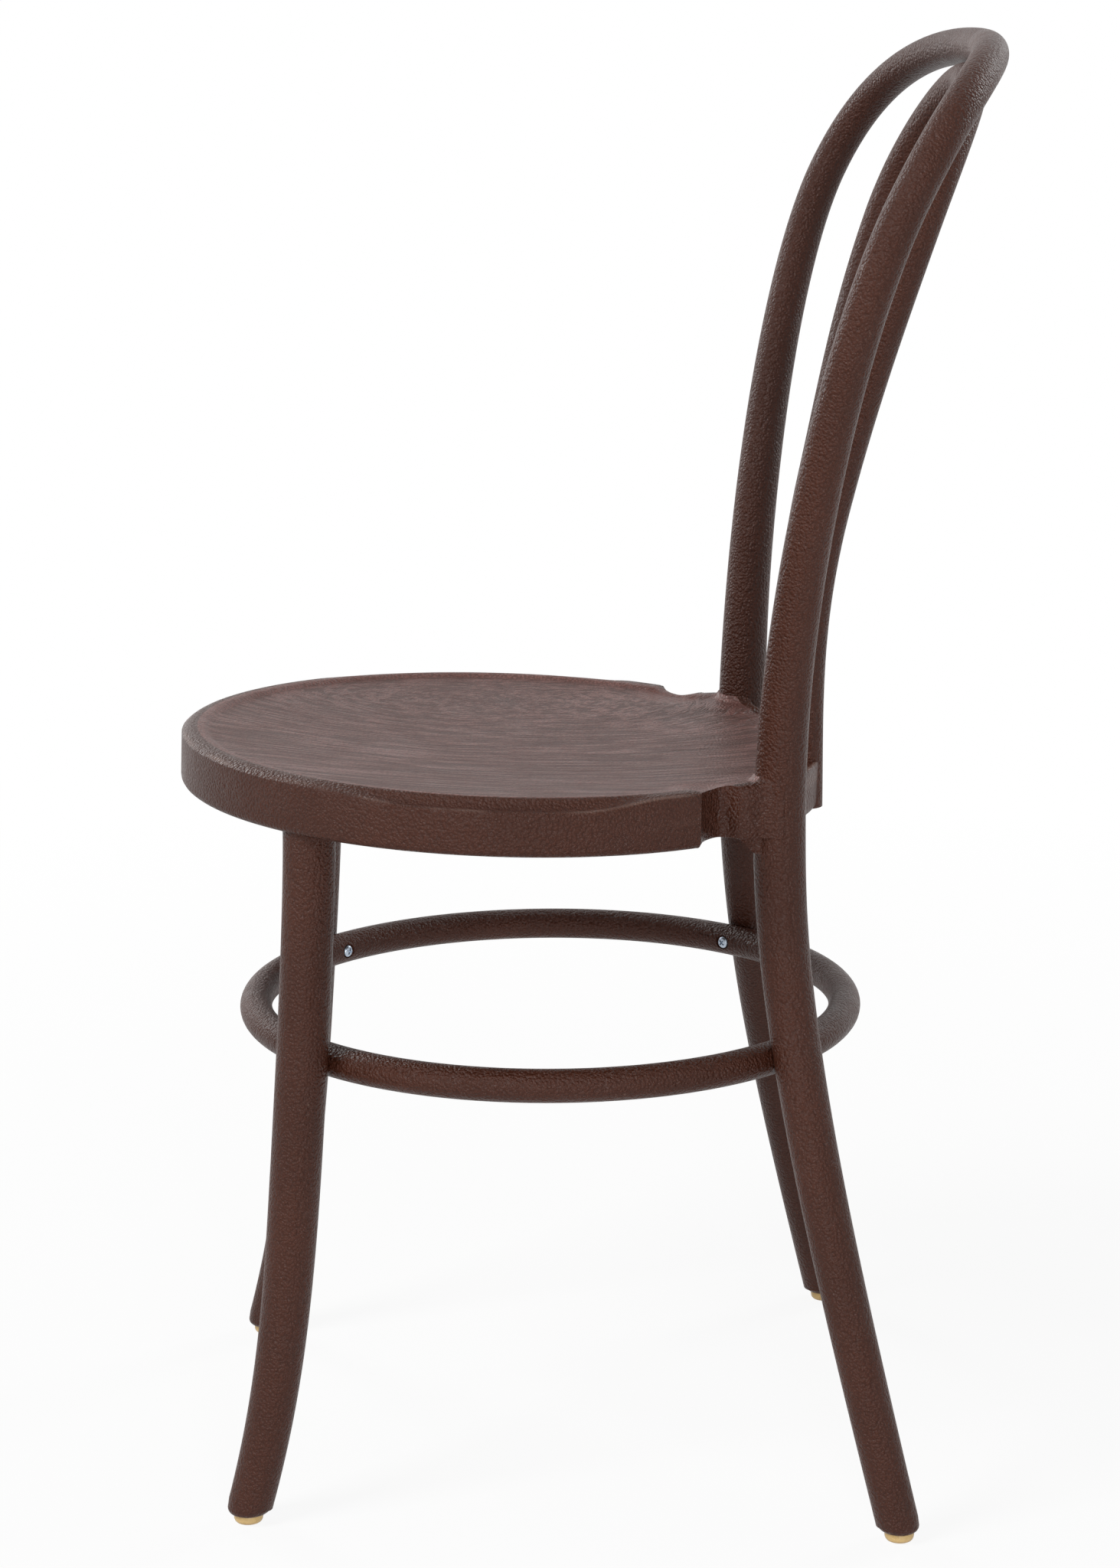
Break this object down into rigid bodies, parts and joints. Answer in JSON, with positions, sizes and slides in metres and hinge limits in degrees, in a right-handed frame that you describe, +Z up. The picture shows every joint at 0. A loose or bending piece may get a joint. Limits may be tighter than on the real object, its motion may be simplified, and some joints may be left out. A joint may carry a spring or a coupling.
{
  "type": "bentwood-style side chair",
  "caption": "Round-seat café side chair in the classic bentwood form, moulded in brown resin, with a hoop back, an inner back loop, a ring stretcher and button glides.",
  "frame": {"origin": "on the floor under the centre of the overall box", "axes": "+Z up; the sitter faces -Y; +X is the sitter's left"},
  "size_m": [0.4359, 0.5058, 0.892],
  "materials": {
    "frame_resin": "fine pebbled moulding grain, dark brown",
    "seat_resin": "embossed wood grain on top, pebbled grain on the wall, dark brown",
    "zinc_steel": "bluish zinc plating",
    "amber_glide": "smooth amber plastic"
  },
  "bodies": {
    "root": {"seat": "seat_resin", "back_frame": "frame_resin", "inner_loop": "frame_resin", "front_leg_left": "frame_resin", "front_leg_right": "frame_resin", "ring_stretcher": "frame_resin", "ring_screws": "zinc_steel", "lug_screws": "zinc_steel", "front_leg_screws": "zinc_steel", "loop_foot_screws": "zinc_steel", "loop_top_screw": "zinc_steel", "glide_front_left": "amber_glide", "glide_front_right": "amber_glide", "glide_rear_left": "amber_glide", "glide_rear_right": "amber_glide"}
  },
  "joints": []
}
